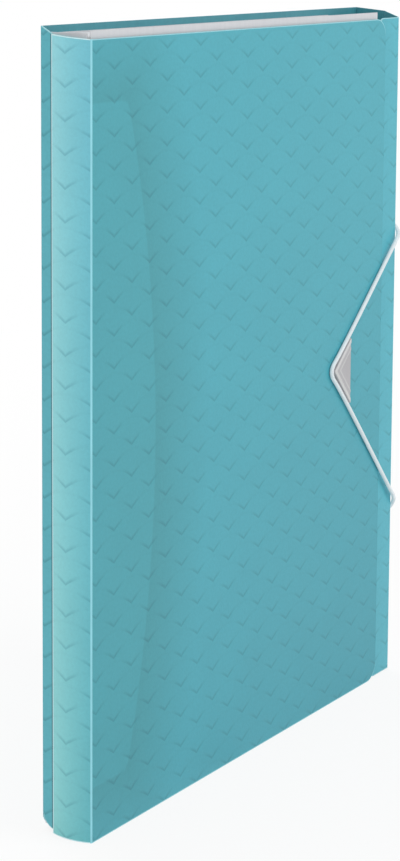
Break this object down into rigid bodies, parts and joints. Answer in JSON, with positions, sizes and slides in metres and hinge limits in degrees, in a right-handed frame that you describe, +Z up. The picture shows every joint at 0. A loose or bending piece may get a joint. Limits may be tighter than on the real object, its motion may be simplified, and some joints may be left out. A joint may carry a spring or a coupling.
{
  "type": "expanding file",
  "caption": "Expanding file for A4 papers with a wrap-round cover, pleated pockets, a tuck-in side flap and an elastic cord held by a triangular hook.",
  "frame": {"origin": "middle of the bottom of the bounding box, on the surface that the file stands on", "axes": "+Z up along the tall side, -Y out of the front cover, -X out of the spine, +X out of the closing side"},
  "size_m": [0.2542, 0.0274, 0.3295],
  "materials": {
    "translucent_teal_pp": "embossed translucent polypropylene sheet",
    "white_pp": "satin polypropylene sheet",
    "white_film": "thin satin polypropylene film",
    "label_paper": "matt uncoated paper",
    "grey_moulding": "fine satin injection moulding",
    "white_elastic": "braided cover over a rubber core",
    "end_metal": "crimped bright steel"
  },
  "bodies": {
    "back_shell": {"back_cover": "translucent_teal_pp", "inner_spine": "translucent_teal_pp", "spine_panel": "translucent_teal_pp", "pocket_base_strip": "white_pp", "rear_wall": "white_pp", "index_label_1": "label_paper", "top_gusset_1": "white_film", "bottom_gusset_1": "white_film"},
    "front_cover": {"front_cover": "translucent_teal_pp", "spine_tab": "translucent_teal_pp", "closure_hook": "grey_moulding", "hook_backing_plate": "grey_moulding"},
    "side_rear": {"side_panel_rear": "translucent_teal_pp"},
    "side_front": {"side_panel_front": "translucent_teal_pp", "elastic_cord": "white_elastic", "elastic_end_bars": "end_metal"},
    "tuck_flap": {"tuck_flap": "translucent_teal_pp"},
    "divider_1": {"divider_1": "white_pp", "index_label_2": "label_paper", "top_gusset_2": "white_film", "bottom_gusset_2": "white_film"},
    "divider_2": {"divider_2": "white_pp", "index_label_3": "label_paper", "top_gusset_3": "white_film", "bottom_gusset_3": "white_film"},
    "divider_3": {"divider_3": "white_pp", "index_label_4": "label_paper", "top_gusset_4": "white_film", "bottom_gusset_4": "white_film"},
    "divider_4": {"divider_4": "white_pp", "index_label_5": "label_paper", "top_gusset_5": "white_film", "bottom_gusset_5": "white_film"},
    "front_wall": {"front_wall": "white_pp"}
  },
  "joints": [
    {"name": "front_cover_hinge", "type": "hinge", "parent": "back_shell", "child": "front_cover", "pos_m": [-0.125, -0.01135, 0.1625], "axis": [0, 0, -1], "range_deg": [0, 175], "deforming": ["elastic_cord"]},
    {"name": "side_fold", "type": "hinge", "parent": "back_shell", "child": "side_rear", "pos_m": [0.125, 0.01365, 0.165], "axis": [0, 0, 1], "range_deg": [0, 106]},
    {"name": "side_crease", "type": "hinge", "parent": "side_rear", "child": "side_front", "pos_m": [0.125, -0.00235, 0.165], "axis": [0, 0, 1], "range_deg": [0, 12]},
    {"name": "tuck_fold", "type": "hinge", "parent": "side_front", "child": "tuck_flap", "pos_m": [0.125, -0.01045, 0.165], "axis": [0, 0, 1], "range_deg": [0, 36]},
    {"name": "pocket_1_fan", "type": "hinge", "parent": "back_shell", "child": "divider_1", "pos_m": [-0.1237, -0.01005, 0.164], "axis": [0, 0, -1], "range_deg": [0, 5.8], "deforming": ["top_gusset_1", "bottom_gusset_1"]},
    {"name": "pocket_2_fan", "type": "hinge", "parent": "divider_1", "child": "divider_2", "pos_m": [-0.1237, -0.01005, 0.164], "axis": [0, 0, -1], "range_deg": [0, 5.8], "deforming": ["top_gusset_2", "bottom_gusset_2"]},
    {"name": "pocket_3_fan", "type": "hinge", "parent": "divider_2", "child": "divider_3", "pos_m": [-0.1237, -0.01005, 0.164], "axis": [0, 0, -1], "range_deg": [0, 5.8], "deforming": ["top_gusset_3", "bottom_gusset_3"]},
    {"name": "pocket_4_fan", "type": "hinge", "parent": "divider_3", "child": "divider_4", "pos_m": [-0.1237, -0.01005, 0.164], "axis": [0, 0, -1], "range_deg": [0, 5.8], "deforming": ["top_gusset_4", "bottom_gusset_4"]},
    {"name": "pocket_5_fan", "type": "hinge", "parent": "divider_4", "child": "front_wall", "pos_m": [-0.1237, -0.01005, 0.164], "axis": [0, 0, -1], "range_deg": [0, 5.8], "deforming": ["top_gusset_5", "bottom_gusset_5"]}
  ],
  "couplings": [
    {"joint": "side_fold", "follows": "front_cover_hinge", "ratio": 0.6},
    {"joint": "side_crease", "follows": "front_cover_hinge", "ratio": 0.06},
    {"joint": "tuck_fold", "follows": "front_cover_hinge", "ratio": 0.2},
    {"joint": "pocket_1_fan", "follows": "front_cover_hinge", "ratio": 0.032},
    {"joint": "pocket_2_fan", "follows": "front_cover_hinge", "ratio": 0.032},
    {"joint": "pocket_3_fan", "follows": "front_cover_hinge", "ratio": 0.032},
    {"joint": "pocket_4_fan", "follows": "front_cover_hinge", "ratio": 0.032},
    {"joint": "pocket_5_fan", "follows": "front_cover_hinge", "ratio": 0.032}
  ]
}
